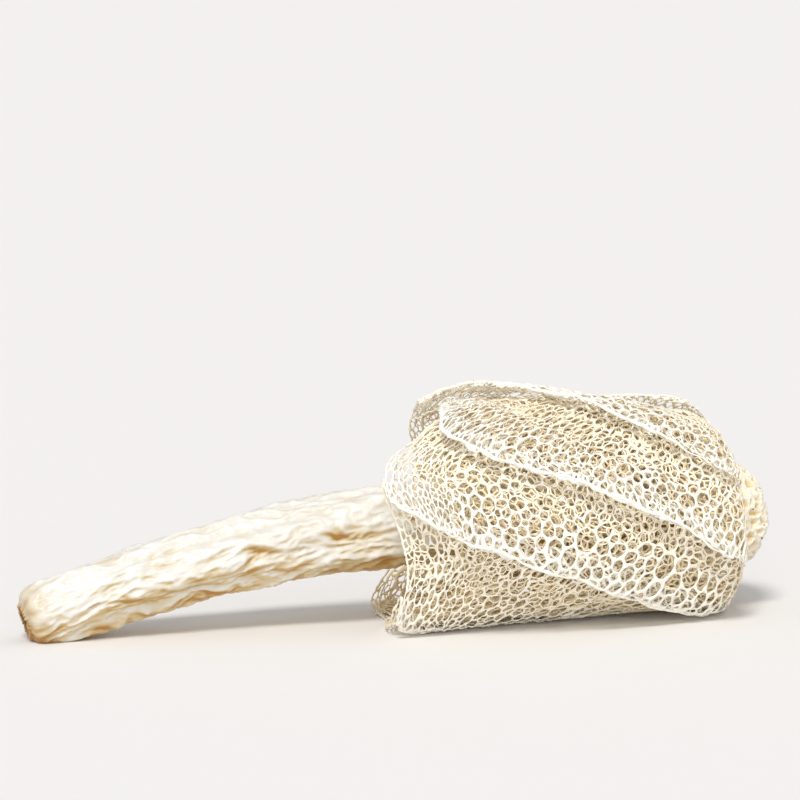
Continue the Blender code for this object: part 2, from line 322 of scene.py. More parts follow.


# %% [markdown]
# ### Lace of the net
# The strands are the same chitin as the stem, dried to a brittle lace. On the outside they are almost
# white; in the folds under the outer layer the light is golden, and that golden shade is painted into their
# colour. The two share one function and differ in their three tones, from the lit white to the painted shade.

# %% Material of the net
def lace(name, outer, middle, deep):
    """Dried fungus lace: to the eye, matt and nearly white, and painted warmer as shade where it is turned
    away or low.
    """
    material, shader = new_material(name)
    where = add_node(material, "ShaderNodeTexCoord").outputs["Object"]
    # Painted shade: the stored depth, how far a point lies in a fold, faces inwards or lies low, turns the
    # lace golden
    depth = add_node(material, "ShaderNodeAttribute", {"attribute_name": "depth"}).outputs["Fac"]
    mottle = add_node(material, "ShaderNodeTexNoise", links={"Vector": where}, Scale=per_metre(7), Detail=4.0)
    uneven = add_node(
        material, "ShaderNodeMath", {"operation": "MULTIPLY_ADD"},
        {0: mottle.outputs["Fac"], 2: depth}, _1=0.3
    )
    # The first tone is the lit strand; the last is painted golden shade
    colour = add_node(material, "ShaderNodeValToRGB", links={"Fac": uneven.outputs[0]})
    set_stops(colour, [(0.1, outer), (0.5, middle), (1.0, deep)])
    material.node_tree.links.new(colour.outputs[0], shader.inputs["Base Color"])
    # The grain of a strand is about 0.1 mm, and is drawn at 0.7 mm so that it shows
    fine = add_node(material, "ShaderNodeTexNoise", links={"Vector": where}, Scale=per_metre(0.7), Detail=3.0)
    bump = add_node(
        material, "ShaderNodeBump", links={"Height": fine.outputs["Fac"]}, Strength=0.4, Distance=0.1 * MM
    )
    material.node_tree.links.new(bump.outputs[0], shader.inputs["Normal"])
    shader.inputs["Roughness"].default_value = 0.48
    return material


# %% [markdown]
# ### Pitted skin of the cap
# The cap's skin is rougher than the stem's and is painted a little warmer in its pits as shade, with a few
# dark specks where spores and soil stuck. The pits are in the mesh, so the material adds only tone, the
# painted shade in the pits, specks and a fine grain.

# %% Material of the cap
def cap_skin():
    """Dried, pitted fungus skin: to the eye, matt cream with warmer painted shade in its pits, and dark
    specks.
    """
    material, shader = new_material("dried_pitted_skin")
    where = add_node(material, "ShaderNodeTexCoord").outputs["Object"]
    # Painted shade: how deep a point lies in a pit turns the skin warmer
    pit = add_node(material, "ShaderNodeAttribute", {"attribute_name": "pit"}).outputs["Fac"]
    mottle = add_node(material, "ShaderNodeTexNoise", links={"Vector": where}, Scale=per_metre(3), Detail=5.0)
    uneven = add_node(
        material, "ShaderNodeMath", {"operation": "MULTIPLY_ADD"},
        {0: mottle.outputs["Fac"], 2: pit}, _1=0.4
    )
    skin = add_node(material, "ShaderNodeValToRGB", links={"Fac": uneven.outputs[0]})
    set_stops(skin, [(0.2, "f7f1e2"), (0.6, "f0e3c6"), (1.0, "e2c998")])
    speck = add_node(material, "ShaderNodeTexVoronoi", links={"Vector": where}, Scale=per_metre(3.2))
    dots = add_node(material, "ShaderNodeValToRGB", links={"Fac": speck.outputs["Distance"]})
    set_stops(dots, [(0.07, "4a3524"), (0.12, "ffffff")])
    both = add_node(
        material, "ShaderNodeMix", {"data_type": "RGBA", "blend_type": "MULTIPLY"},
        {6: skin.outputs[0], 7: dots.outputs[0]}, _0=1.0
    )
    material.node_tree.links.new(both.outputs[2], shader.inputs["Base Color"])
    # The grain of the skin is about 0.2 mm, and is drawn at 0.9 mm so that it shows
    fine = add_node(material, "ShaderNodeTexNoise", links={"Vector": where}, Scale=per_metre(0.9), Detail=5.0)
    bump = add_node(
        material, "ShaderNodeBump", links={"Height": fine.outputs["Fac"]}, Strength=0.6, Distance=0.15 * MM
    )
    material.node_tree.links.new(bump.outputs[0], shader.inputs["Normal"])
    shader.inputs["Roughness"].default_value = 0.6
    return material


# %% [markdown]
# ## The stem
# A dried stem is a tube that has shrunk onto its sponge: long creases wander along it, and between them the
# skin is finely crinkled. A cylinder gives the tube. Its base end is inset and pushed in for the hole, cuts
# across it give the rings, and then every point is moved by the wrinkles and bent onto the arch.

# %% Stem: the tube
# Distance from the base end and radius, in mm
STEM_PROFILE = [(0, 7.6), (5, 8.1), (14, 8.4), (38, 8.9), (75, 9.8),
                (105, 10.2), (140, 9.2), (166, 7.6), (188, 6.8)]
STEM_TOP_X = TIP_X - 10 * MM
STEM_SIDES = 48
STEM_CUTS = 92
STEM_END_ROUNDING = 2.4 * MM
HOLE_MOUTH = 2.85 * MM
HOLE_RADIUS = 1.9 * MM
HOLE_DEPTH = 11 * MM


def stem_radius(x):
    return table_value(STEM_PROFILE, (x - BASE_X) / MM) * MM


print("stem at its thickest:", round(2 * stem_radius(BASE_X + 105 * MM) / MM, 1), "mm")

# %% [markdown]
# The tube starts as a cylinder along X. Three insets step in over the cut end, three tapering extrusions go
# into the hole, and bisecting cuts put rings along the side, closer together near the base.

# %% Stem: from a cylinder to a holed tube
def make_stem_tube():
    deselect_all()
    bpy.ops.mesh.primitive_cylinder_add(
        vertices=STEM_SIDES, radius=stem_radius(BASE_X), depth=STEM_TOP_X - BASE_X,
        location=((STEM_TOP_X + BASE_X) / 2, 0, 0), rotation=(0, math.pi / 2, 0)
    )
    stem = bpy.context.object
    bpy.ops.object.transform_apply()
    edit(stem)
    select_faces(stem, lambda centre, normal: normal.x < -0.9)
    edge = stem_radius(BASE_X)
    for inset, push in ((edge * 0.22, 0.0), (edge * 0.22, 0.0), (edge * 0.56 - HOLE_MOUTH, 0.5 * MM)):
        bpy.ops.mesh.inset(thickness=inset)
        bpy.ops.transform.translate(value=(push, 0, 0))
    for taper, push in ((HOLE_RADIUS / HOLE_MOUTH, 1.4 * MM), (0.92, 3 * MM), (0.85, HOLE_DEPTH - 5 * MM)):
        bpy.ops.mesh.extrude_region_move(TRANSFORM_OT_translate={"value": (push, 0, 0)})
        bpy.ops.transform.resize(value=(1, taper, taper), center_override=(0, 0, 0))
    bpy.ops.mesh.inset(thickness=0.4 * MM)
    for cut in range(1, STEM_CUTS):
        share = cut / STEM_CUTS
        x = mix(BASE_X, STEM_TOP_X, share ** 1.08)
        select_faces(stem, lambda centre, normal: abs(normal.x) < 0.3 and centre.yz.length > 0.8 * edge)
        bpy.ops.mesh.bisect(plane_co=(x, 0, 0), plane_no=(1, 0, 0))
    bpy.ops.object.mode_set(mode="OBJECT")
    stem.name = "stem_skin"
    return stem


# %% [markdown]
# The wrinkles come in many sizes. The broad waves are the ones that the solid has. Over them run ridged
# creases of four sizes, stretched several times longer along the stem than round it, with their lines bent
# by a slower noise so that they wander, fork and run together as in crumpled silk. Each vertex also keeps,
# for the material, how deep in a crease it lies or how far it is turned to the ground, which is painted as
# straw-coloured shade, and how near it is to the soiled base end.

# %% Stem: the wrinkles
WRINKLE_DEPTH = 1.0 * MM
WRINKLES = [(0.50, 5, 0.9, 2.6, 31), (0.36, 8, -1.7, 2.0, 19), (0.30, 3, 0.4, 1.8, 23)]
WRINKLES_START = 14 * MM
WRINKLES_FADE = (50 * MM, 66 * MM)
# Each size of crease: its spacing in mm, how many times longer it is than wide, and its depth in mm
CREASES = [(5.0, 4.5, 0.60), (2.8, 3.2, 0.66), (1.6, 2.3, 0.40), (0.95, 1.6, 0.15)]
CREASE_WANDER = 2.4 * MM


def wrinkle(x, angle):
    """The broad waves of the stem, which wander round it and die out towards both ends."""
    waves = sum(
        share * math.sin(count * angle + start + wander * math.sin(x / MM / length + start))
        for share, count, start, wander, length in WRINKLES
    )
    fade = smooth(BASE_X, BASE_X + WRINKLES_START, x) * (1 - smooth(*WRINKLES_FADE, x))
    return WRINKLE_DEPTH * waves * fade


def silk(spot):
    """Height of the fine folds at a point of the skin: thin sharp ridges between soft hollows."""
    bent = spot + noise.noise_vector(spot / (9 * MM)) * CREASE_WANDER
    height = 0.0
    for number, (spacing, stretch, depth) in enumerate(CREASES):
        at = Vector((bent.x / stretch, bent.y, bent.z)) / (spacing * MM)
        height += depth * (0.55 - 2.0 * abs(noise.noise(at + Vector((0, 7.3 * number, 0)))))
    return height * MM


print("fold height at the middle of the stem:", round(silk(Vector((0, 9 * MM, 0))) / MM, 2), "mm")

# %% [markdown]
# The cut end is one surface with the side: the edge is rounded, the face runs in to the mouth of the hole
# with soft rays, as the skin was drawn in there when it dried, and the hole is dark brown inside. The cut
# face has a straw tone of its own and is painted darker as shade in the hollows between its rays. The
# normals, which give the painted shade on the side turned to the ground, are read only after all points
# have moved, because reading one after each move would work out all of them every time.

# %% Stem: the wrinkled skin
def shape_stem(stem):
    painted_shades, soil_and_dark_hole = [], []
    for vertex in stem.data.vertices:
        x, y, z = vertex.co
        share = vertex.co.yz.length / stem_radius(BASE_X)
        angle = math.atan2(z, y)
        r = stem_radius(x) * share
        fine = silk(Vector((x, r * math.cos(angle), r * math.sin(angle))))
        # Painted crease shade: the deeper a point lies in a fine fold, the more amber it is painted
        depth = 0.2 - 0.3 * fine / MM
        inside = x > BASE_X + 0.1 * MM and share < 0.9
        if share > 0.9 and x > BASE_X + 0.01 * MM:
            part = 1 - min(1, (x - BASE_X) / STEM_END_ROUNDING)
            start = smooth(BASE_X, BASE_X + 6 * MM, x)
            rounding = STEM_END_ROUNDING * (1 - math.sqrt(1 - part ** 2))
            r += wrinkle(x, angle) + mix(0.35, 1, start) * fine - rounding
        elif r > HOLE_MOUTH and not inside:
            out = (r - HOLE_MOUTH) / (stem_radius(BASE_X) - HOLE_MOUTH)
            edge = stem_radius(BASE_X) - STEM_END_ROUNDING
            r = mix(HOLE_MOUTH, edge, out) + 0.35 * fine * smooth(0.6, 1, out)
            grain = noise.noise(Vector((0, y, z)) / (0.8 * MM))
            ray = math.sin(angle * 21 + 3 * math.sin(angle * 5)) + 0.8 * grain
            fold = smooth(0, 0.3, out) * (1 - smooth(0.7, 1, out))
            x += (0.16 * ray - 0.7) * MM * fold
            # The cut face has a straw tone of its own, painted darker as shade in the hollows between its
            # rays
            depth = 0.45 + 0.1 * ray * fold
        # Soil: patches towards the cut end and a ring round the mouth of the hole; the inside of the hole is
        # dark brown
        from_end = 1 - smooth(BASE_X, BASE_X + 8 * MM, x)
        dirt = 0.55 + 0.8 * noise.noise(Vector((x, y, z)) / (2.4 * MM))
        ring = 1 - smooth(0.32, 0.62, share)
        soil_and_dark_hole.append(min(1, max(0, 0.95 if inside else max(ring * 0.75, 0.55 * from_end * dirt))))
        spot = place(x, r * math.cos(angle), r * math.sin(angle))
        spot.z = settle(spot.z, 0, 0.5 * MM)
        vertex.co = spot
        painted_shades.append(depth)
    stem.data.update()
    # Painted shade: the side turned to the ground is painted more amber
    for index, vertex in enumerate(stem.data.vertices):
        painted_shades[index] += 0.5 * (1 - smooth(-0.9, 0.45, vertex.normal.z))
    store(stem, "depth", [min(1.0, max(0.0, d)) for d in painted_shades])
    store(stem, "base", soil_and_dark_hole)


stem = make_stem_tube()
subdivide_surface(stem, 2)
shape_stem(stem)
stem.data.shade_smooth()
stem.data.materials.clear()
stem.data.materials.append(stem_skin())
print("stem skin:", count_triangles(stem), "triangles")


# %% [markdown]
# ## The net
# The skirt's cells are uneven and rounded, as bubbles pressed together. No operator lays such a pattern, so
# it is laid out in code: points are scattered on the flattened skirt, none nearer to another than the size
# of a cell there, evened out, and joined into triangles. Round each point, the middles of its triangles are
# the corners of its cell.

# %% Net: scattering the cells
MOST_MISSES = 4000
GAP_SHARE = 0.83


def scatter(height, spacing, rng):
    """Points on a band that closes on itself after a full turn, none nearer than spacing(turn, level)."""
    cells, points = {}, []
    size = min(spacing(TURN * i / 60, height * k / 40) for i in range(60) for k in range(41)) / 1.5
    columns = max(1, int(TURN / size))
    misses = 0
    while misses < MOST_MISSES:
        angle, level = rng.uniform(0, TURN), rng.uniform(0, height)
        gap = spacing(angle, level)
        column, row = int(angle / TURN * columns), int(level / size)
        reach = int(gap / size) + 2
        near = (
            cells.get(((column + i) % columns, row + j))
            for i in range(-reach, reach + 1)
            for j in range(-reach, reach + 1)
        )
        clear = all(
            math.hypot((angle - a + math.pi) % TURN - math.pi, level - b) >= gap
            for a, b in filter(None, near)
        )
        if clear and (column % columns, row) not in cells:
            cells[(column % columns, row)] = (angle, level)
            points.append((angle, level))
            misses = 0
        else:
            misses += 1
    return points


print("cells on a band of one radius by one radius:", len(scatter(1, lambda a, b: 0.5, random.Random(1))))

# %% [markdown]
# The triangles come from Blender's own Delaunay function. The band closes on itself, so copies of the
# points are set beside it to the left and right, and mirrored copies above and below give its edges whole
# cells.

# %% Net: from points to cells
def net_polygons(points, height):
    """Corners and cells of the net that has one cell round each point: the duals of a triangulation."""
    copies, source = [], []
    for turn in (0, -1, 1):
        for side in (0, -1, 1):
            for index, (angle, level) in enumerate(points):
                a = angle + turn * TURN
                b = level if side == 0 else (-level if side < 0 else 2 * height - level)
                if -0.1 * TURN < a < 1.1 * TURN and -0.15 * height < b < 1.15 * height:
                    copies.append(Vector((a, b)))
                    source.append((index, turn, side))
    corners_2d, _, triangles, origins, _, _ = delaunay_2d_cdt(copies, [], [], 0, 1e-9)
    name = [source[o[0]] for o in origins]
    corners, number, around = [], {}, {}
    for triangle in triangles:
        real = [name[i] for i in triangle]
        if not any(side == 0 and turn == 0 for _, turn, side in real):
            continue
        shift = min(turn for _, turn, _ in real)
        key = frozenset((index, turn - shift, side) for index, turn, side in real)
        middle = sum((corners_2d[i] for i in triangle), Vector((0, 0))) / 3
        if key not in number:
            level = min(max(middle.y, 0), height)
            if any(side != 0 for _, _, side in real):
                level = 0 if middle.y < height / 2 else height
            number[key] = len(corners)
            corners.append((middle.x % TURN, level))
        for i in triangle:
            index, turn, side = name[i]
            if side == 0 and turn == 0:
                offset = middle - corners_2d[i]
                around.setdefault(index, []).append((math.atan2(offset.y, offset.x), number[key], middle))
    cells = [sorted(around[index], key=lambda entry: entry[0]) for index in range(len(points))]
    return corners, cells


def relaxed(points, height, rounds):
    """The points moved to the middles of their cells a few times, which evens the cells out."""
    for _ in range(rounds):
        _, cells = net_polygons(points, height)
        moved = []
        for cell in cells:
            middle = sum((entry[2] for entry in cell), Vector((0, 0))) / len(cell)
            moved.append((middle.x % TURN, min(max(middle.y, 0), height)))
        points = moved
    return points


# %% [markdown]
# ### The shape that the net hangs in
# The skirt is joined to the stem under the cap, runs out over the cap's side, turns back and hangs round
# the stem as a wide sleeve. Dried, it is far too wide for that, so it lies in folds. Seen along the stem
# each fold is a Z: a long ramp up to a crest, a short way back under it, and on again. That section is
# drawn once as a curve, and the net is laid along it by its true length, so that the cells keep their size
# in the folds.

# %% Net: the sleeve and its folds
SLEEVE = [(67.5, 9.3), (66.0, 13.5), (69.0, 17.4), (77.0, 18.3), (85.5, 18.8), (90.5, 22.2),
          (85.5, 25.8), (71.0, 27.5), (48.0, 29.2), (22.0, 30.0), (2.0, 29.6), (-8.0, 28.2)]
SLEEVE_TOP_DRAWN_BACK = 7 * MM
SKIRT_WIDTH_SHARE = 1.10
SKIRT_HEIGHT_SHARE = 0.98
SKIRT_SWELL = 0.02
SKIRT_FLAT_BLEND = 3 * MM
SKIRT_FLOOR = 0.6 * MM
FOLD_CRESTS = [-35, 40, 108, 152, 198, 262]
FOLD_RAMP = 44
FOLD_DROP = 13
FOLD_RISE = 4.4 * MM
FOLD_SWEEP = 190
FOLD_Z = [(-0.55, 0.36), (-0.27, 0.74), (-0.08, 0.97), (0.012, 1.0), (0.03, 0.82), (-0.08, 0.62),
          (-0.22, 0.46), (-0.28, 0.30), (-0.2, 0.12), (0.0, 0.03), (0.3, 0.0)]
FOLD_MEAN_RADIUS = 31 * MM
FOLD_STEPS = 1600
HEM_DIP = 21 * MM
HEM_DIP_START = (-75, -10)
HEM_DIP_END = (96, 150)
HEM_LIFT = 3 * MM
HEM_LIFT_ANGLE = 112
HEM_WAVE = 1.8 * MM
print("folds:", len(FOLD_CRESTS), "each", round(FOLD_RISE / MM, 1), "mm high")

# %% [markdown]
# The folded section is read by its own length, not by its angle. So its length is measured once in small
# steps, and `at` looks up where a share of that length lies.

# %% Net: the folded section
def fold_path():
    """Angle in degrees and rise of points once round the folded section, and the crests' numbers."""
    path, crests = [], []
    for index, crest in enumerate(FOLD_CRESTS):
        before = FOLD_CRESTS[index - 1] - (360 if index == 0 else 0)
        ramp = min(FOLD_RAMP, crest - before - FOLD_DROP - 4)
        path.append((crest - ramp, 0.0))
        for share, rise in FOLD_Z:
            if (share, rise) == (0.012, 1.0):
                crests.append(len(path))
            path.append((crest + share * FOLD_RAMP, rise))
    path.append((path[0][0] + 360, 0.0))
    return path, crests


class Folds:
    """The folded section, read by the share of its own length."""

    def __init__(self):
        path, crests = fold_path()
        self.steps, self.lengths = [], [0.0]
        for step in range(FOLD_STEPS + 1):
            angle, rise = spline(path, step / FOLD_STEPS)
            self.steps.append((angle, rise))
            if step:
                last = self.steps[-2]
                along = math.radians(angle - last[0]) * FOLD_MEAN_RADIUS
                self.lengths.append(self.lengths[-1] + math.hypot(along, (rise - last[1]) * FOLD_RISE))
        self.total = self.lengths[-1]
        self.start = path[0][0]
        at_crests = [round(c / (len(path) - 1) * FOLD_STEPS) for c in crests]
        self.crests = [self.lengths[step] / self.total for step in at_crests]

    def at(self, share):
        """Angle in degrees and rise at a share of the section's length."""
        wanted = (share % 1) * self.total
        low = step_below(self.lengths, wanted)
        f = (wanted - self.lengths[low]) / max(1e-12, self.lengths[low + 1] - self.lengths[low])
        (a, r), (b, s) = self.steps[low], self.steps[low + 1]
        return mix(a, b, f), mix(r, s, f)

    def crest_distance(self, share):
        """Distance along the folded section to the nearest crest."""
        return min(abs((share - c + 0.5) % 1 - 0.5) for c in self.crests) * self.total


folds = Folds()
print("folded section:", round(folds.total / MM), "mm long, in", len(folds.crests), "folds")

# %% [markdown]
# The sleeve is drawn once as an outline from the stem to the hem. `drape` puts a point of the net on it: it
# adds the rise of the folds, draws the hem back at the top, lifts its corner, and widens the sleeve a
# little, as it has slumped.

# %% Net: hanging it on the arch
def sleeve(share):
    x, radius = spline(SLEEVE, share)
    return x * MM, radius * MM


def folded_amount(share):
    return smooth(0.36, 0.62, share)


def girth(share):
    """Length once round the skirt at a share of the way to its hem, divided by a full turn."""
    radius = sleeve(share)[1] * mix(1, (SKIRT_WIDTH_SHARE + SKIRT_HEIGHT_SHARE) / 2, smooth(0.1, 0.4, share))
    return mix(radius, folds.total / TURN * radius / FOLD_MEAN_RADIUS, folded_amount(share))


def hem_shift(angle):
    """How far the hem lies back along X at an angle round it."""
    degrees = (math.degrees(angle) + 110) % 360 - 110
    drawn_back = smooth(*HEM_DIP_START, degrees) * (1 - smooth(*HEM_DIP_END, degrees))
    return HEM_DIP * drawn_back + HEM_WAVE * math.sin(4 * angle + 1)


def drape(angle, share, rise):
    """Point of the skirt at an angle round it, a share of the way to the hem and a rise above the sleeve."""
    x, radius = sleeve(share)
    turning = smooth(0.1, 0.42, share) * (1 - smooth(0.5, 0.85, share))
    x -= SLEEVE_TOP_DRAWN_BACK * turning * (1 + math.sin(angle)) / 2
    radius += rise
    radius *= 1 + SKIRT_SWELL * folded_amount(share) * math.sin(3 * angle + 6 * share)
    x += smooth(0.5, 1, share) * hem_shift(angle)
    corner = max(0, math.cos(angle - math.radians(HEM_LIFT_ANGLE)))
    radius += smooth(0.72, 1, share) * HEM_LIFT * corner ** 6
    spread = smooth(0.1, 0.4, share)
    across = radius * math.cos(angle) * mix(1, SKIRT_WIDTH_SHARE, spread)
    up = radius * math.sin(angle) * mix(1, SKIRT_HEIGHT_SHARE, spread)
    return place(x, across, up)


def sweep(share):
    """How far the folds have turned round the skirt, in degrees."""
    return -FOLD_SWEEP * (share - 0.78)


print("lowest point of the hem before it is pressed flat:", round(drape(-TURN / 4, 1, 0).z / MM, 1), "mm")


# %% [markdown]
# ### From cells to lace
# One function lays a net on any such surface. The flat cells become strands with the Wireframe modifier,
# whose thickness follows a vertex group, so that strands differ and the crests are stout. One level of
# Subdivision Surface then rounds the holes and webs the corners, as in the real net.

# %% Net: the band
BAND_STEPS = 400


class Band:
    """Levels along the sleeve, spaced so that a cell that is round on the band is round on the skirt."""

    def __init__(self, section, radius_of, first, last, squeeze):
        self.first, self.last = first, last
        self.levels = [0]
        previous = section(first)
        for step in range(1, BAND_STEPS + 1):
            share = mix(first, last, step / BAND_STEPS)
            here = section(share)
            stretch = math.hypot(here[0] - previous[0], here[1] - previous[1]) * squeeze(share)
            self.levels.append(self.levels[-1] + stretch / radius_of(share))
            previous = here
        self.height = self.levels[-1]

    def share(self, level):
        low = step_below(self.levels, level)
        part = (level - self.levels[low]) / max(1e-12, self.levels[low + 1] - self.levels[low])
        return mix(self.first, self.last, (low + min(max(part, 0), 1)) / (len(self.levels) - 1))


# %% [markdown]
# Some strands of the real net are stouter and run on across many cells. From a random corner, each vein
# takes the strand that keeps its heading best.

# %% Net: the veins
def thicken_veins(bm, stout, count, rng):
    """Stouter strands that run on across many cells, as the veins of the net do."""
    bm.verts.ensure_lookup_table()
    for _ in range(count):
        vertex = bm.verts[rng.randrange(len(bm.verts))]
        heading = rng.choice(vertex.link_edges[:]).other_vert(vertex).co - vertex.co
        heading.normalize()
        steps = rng.randint(12, 34)
        for step in range(steps):
            vertex[stout] = max(vertex[stout], mix(0.85, 0.55, step / steps))
            ahead = [edge.other_vert(vertex) for edge in vertex.link_edges]
            onward = max(ahead, key=lambda other: (other.co - vertex.co).normalized().dot(heading))
            heading = (heading + 0.4 * (onward.co - vertex.co).normalized()).normalized()
            vertex = onward


# %% [markdown]
# Now the parts come together: points on the band, their cells, the place of each corner on the skirt, and
# the thickness of each strand as a vertex group.

# %% Net: laying it
def lay_net(name, band, radius_of, spacing, surface, weight, seed, shortest, veins, side_of=None):
    """Mesh of net cells, with a vertex group for the strands' thickness and the depth of each corner, which
    is painted as shade.
    """
    rng = random.Random(seed)

    def gap(turn, level):
        share = band.share(level)
        return GAP_SHARE * spacing(turn, share) / radius_of(share)

    points = relaxed(scatter(band.height, gap, rng), band.height, 1)
    corners, cells = net_polygons(points, band.height)
    bm = bmesh.new()
    stout = bm.verts.layers.float.new("stout")
    depth = bm.verts.layers.float.new("depth")
    verts = []
    for turn, level in corners:
        share = band.share(level)
        spot, deep = surface(turn, share)
        vertex = bm.verts.new(spot)
        vertex[stout] = weight(turn, share) * rng.uniform(0.5, 1.4)
        vertex[depth] = deep
        verts.append(vertex)
    side = bm.faces.layers.int.new("side")
    for (turn, level), cell in zip(points, cells):
        ring = [verts[entry[1]] for entry in cell]
        if len(set(ring)) == len(ring) > 2:
            face = bm.faces.new(ring)
            face[side] = side_of(turn, band.share(level)) if side_of else 0
    for vertex in [v for v in bm.verts if not v.link_faces]:
        bm.verts.remove(vertex)
    bmesh.ops.remove_doubles(bm, verts=bm.verts, dist=shortest)
    bmesh.ops.recalc_face_normals(bm, faces=bm.faces)
    thicken_veins(bm, stout, veins, rng)
    weights = [min(1, max(0.05, v[stout])) for v in bm.verts]
    mesh = bpy.data.meshes.new(name)
    bm.to_mesh(mesh)
    bm.free()
    obj = mesh_object(name, mesh)
    group = obj.vertex_groups.new(name="strand")
    for index, value in enumerate(weights):
        group.add([index], value, "REPLACE")
    return obj


# %% [markdown]
# Where the net faces inwards or lies low, its light has come through other layers, so its stored depth is
# raised there, which paints it warmer as shade. Its lowest strands are then pressed onto the floor.

# %% Net: painted shade and rest
def paint_lace_shade_and_settle(obj):
    """Paints shade on what faces inwards or lies low, as a deeper colour, and keeps the strands above the
    ground.
    """
    painted_shades = [0.0] * len(obj.data.vertices)
    obj.data.attributes["depth"].data.foreach_get("value", painted_shades)
    for index, vertex in enumerate(obj.data.vertices):
        outward = vertex.co - place(vertex.co.x, 0, 0)
        outward.x = 0
        facing = vertex.normal.dot(outward.normalized())
        low = 1 - smooth(2 * MM, 22 * MM, vertex.co.z)
        # Painted shade on what faces inwards, and more towards the ground
        painted_shades[index] += 0.42 * (1 - smooth(-0.7, 0.5, facing)) + 0.1 * low
    obj.data.attributes["depth"].data.foreach_set("value", painted_shades)
    for vertex in obj.data.vertices:
        vertex.co.z = settle(vertex.co.z, 0.05 * MM, 0.1 * MM)


def take_side(obj, number, name):
    """Separates the cells of one side as a net of their own."""
    edit(obj)
    bm = bmesh.from_edit_mesh(obj.data)
    side = bm.faces.layers.int["side"]
    for face in bm.faces:
        face.select = face[side] == number
    bmesh.update_edit_mesh(obj.data)
    bpy.ops.mesh.separate(type="SELECTED")
    bpy.ops.object.mode_set(mode="OBJECT")
    other = next(o for o in bpy.context.selected_objects if o is not obj)
    other.name = name
    return other


# %% [markdown]
# A dried strand is never straight. After the Wireframe has made the strands and the subdivision has rounded
# them, a Displace modifier shifts them in all three directions by a cloudy texture, which kinks them and
# makes the holes irregular.

# %% Net: from cells to kinked strands
KINK = 0.9 * MM
kinks = bpy.data.textures.new("kinks", "CLOUDS")
kinks.cloud_type = "COLOR"
kinks.noise_scale = 1.3 * MM
kinks.noise_depth = 1


def make_lace(obj, thickness, levels):
    apply_modifier(
        obj, "WIREFRAME", thickness=thickness, use_boundary=True, use_even_offset=False, use_replace=True,
        vertex_group="strand", thickness_vertex_group=0.0
    )
    if levels:
        subdivide_surface(obj, levels)
        apply_modifier(obj, "DISPLACE", texture=kinks, direction="RGB_TO_XYZ", strength=KINK, mid_level=0.5)
    obj.data.shade_smooth()
    paint_lace_shade_and_settle(obj)


# %% [markdown]
# ### The outer layer
# This is the net that one sees. Its cells are smaller on top and towards the hem, and are crowded and stout
# along the crests. As one mesh it would be too heavy, so its cells are parted at three crests into a front,
# a back and a top. The seams lie under the cords that run there.

# %% Net: the outer layer
NET_PITCH = 3.45 * MM
NET_STRAND = 1.7 * MM
CRUMPLE = 0.8 * MM


def crumple(spot, size, amount):
    """Small irregular shift of a point of the net."""
    return noise.noise_vector(spot / size) * amount


def across_folds(turn, share):
    """Where a turn round the skirt lies along the folded section, which the sweep carries round."""
    return turn / TURN - sweep(share) / 360


def outer_surface(turn, share):
    amount = folded_amount(share)
    along = across_folds(turn, share)
    angle, rise = folds.at(along)
    even = folds.start + math.degrees(turn)
    angle = math.radians(mix(even, angle + 360 * math.floor(along) + sweep(share), amount))
    spot = drape(angle, share, amount * rise * FOLD_RISE)
    spot += crumple(spot, 9 * MM, CRUMPLE * mix(0.3, 1, amount)) + crumple(spot, 2.6 * MM, 0.4 * MM)
    spot.z = settle(spot.z, SKIRT_FLOOR, SKIRT_FLAT_BLEND)
    # Painted shade: low in a fold, under its crest, the net is painted warmer
    return spot, mix(0.3, 0.32 * (1 - rise), amount)


print("middle of the outer net's front:", tuple(round(v / MM) for v in outer_surface(-1.5, 0.75)[0]), "mm")

# %% [markdown]
# Two more functions say how far apart the cells lie at a place, and how stout their strands are there.

# %% Net: cells and strands of the outer layer
def fineness(spot, share):
    """How small the cells are: smaller on top, where the net is drawn tight, and towards the hem."""
    return mix(1.06, 0.74, smooth(38 * MM, 56 * MM, spot.z)) * mix(1, 0.84, smooth(0.72, 0.9, share))


def outer_spacing(turn, share):
    amount = folded_amount(share)
    crest = (1 - smooth(0.8 * MM, 2.6 * MM, folds.crest_distance(across_folds(turn, share)))) * amount
    spot = drape(turn, share, 0)
    uneven = 1 + 0.4 * noise.noise(spot / (11 * MM)) + 0.6 * noise.noise(spot / (3.6 * MM))
    return NET_PITCH * uneven * mix(1, 0.62, crest) * fineness(spot, share)


def outer_weight(turn, share):
    crest = 1 - smooth(0.5 * MM, 2.4 * MM, folds.crest_distance(across_folds(turn, share)))
    spot = drape(turn, share, 0)
    usual = 0.36 + 0.24 * noise.noise(spot / (9 * MM)) + 0.2 * noise.noise(spot / (3 * MM))
    usual *= fineness(spot, share)
    return mix(usual, 1, max(crest * folded_amount(share), 0.3 * smooth(0.97, 1, share)))


def outer_side(turn, share):
    """0 for the cells in front, 1 for those behind and 2 for those on top, each between two crests."""
    along = across_folds(turn, share)
    starts = [(along - folds.crests[number]) % 1 for number in (3, 5, 1)]
    return starts.index(min(starts))


# %% [markdown]
# The hem is gathered: its cells are squeezed along the sleeve. Then the net is laid, parted and made into
# lace.

# %% Net: laying the outer layer
def hem_squeeze(share):
    return mix(1, 2.1, smooth(0.82, 0.96, share))


band = Band(sleeve, girth, 0, 1, hem_squeeze)
skirt = lay_net(
    "net_skirt_front", band, girth, outer_spacing, outer_surface, outer_weight, 21, 0.6 * MM, 26, outer_side
)
print("outer net:", len(skirt.data.polygons), "cells")
outer_nets = [skirt, take_side(skirt, 1, "net_skirt_back"), take_side(skirt, 2, "net_skirt_top")]
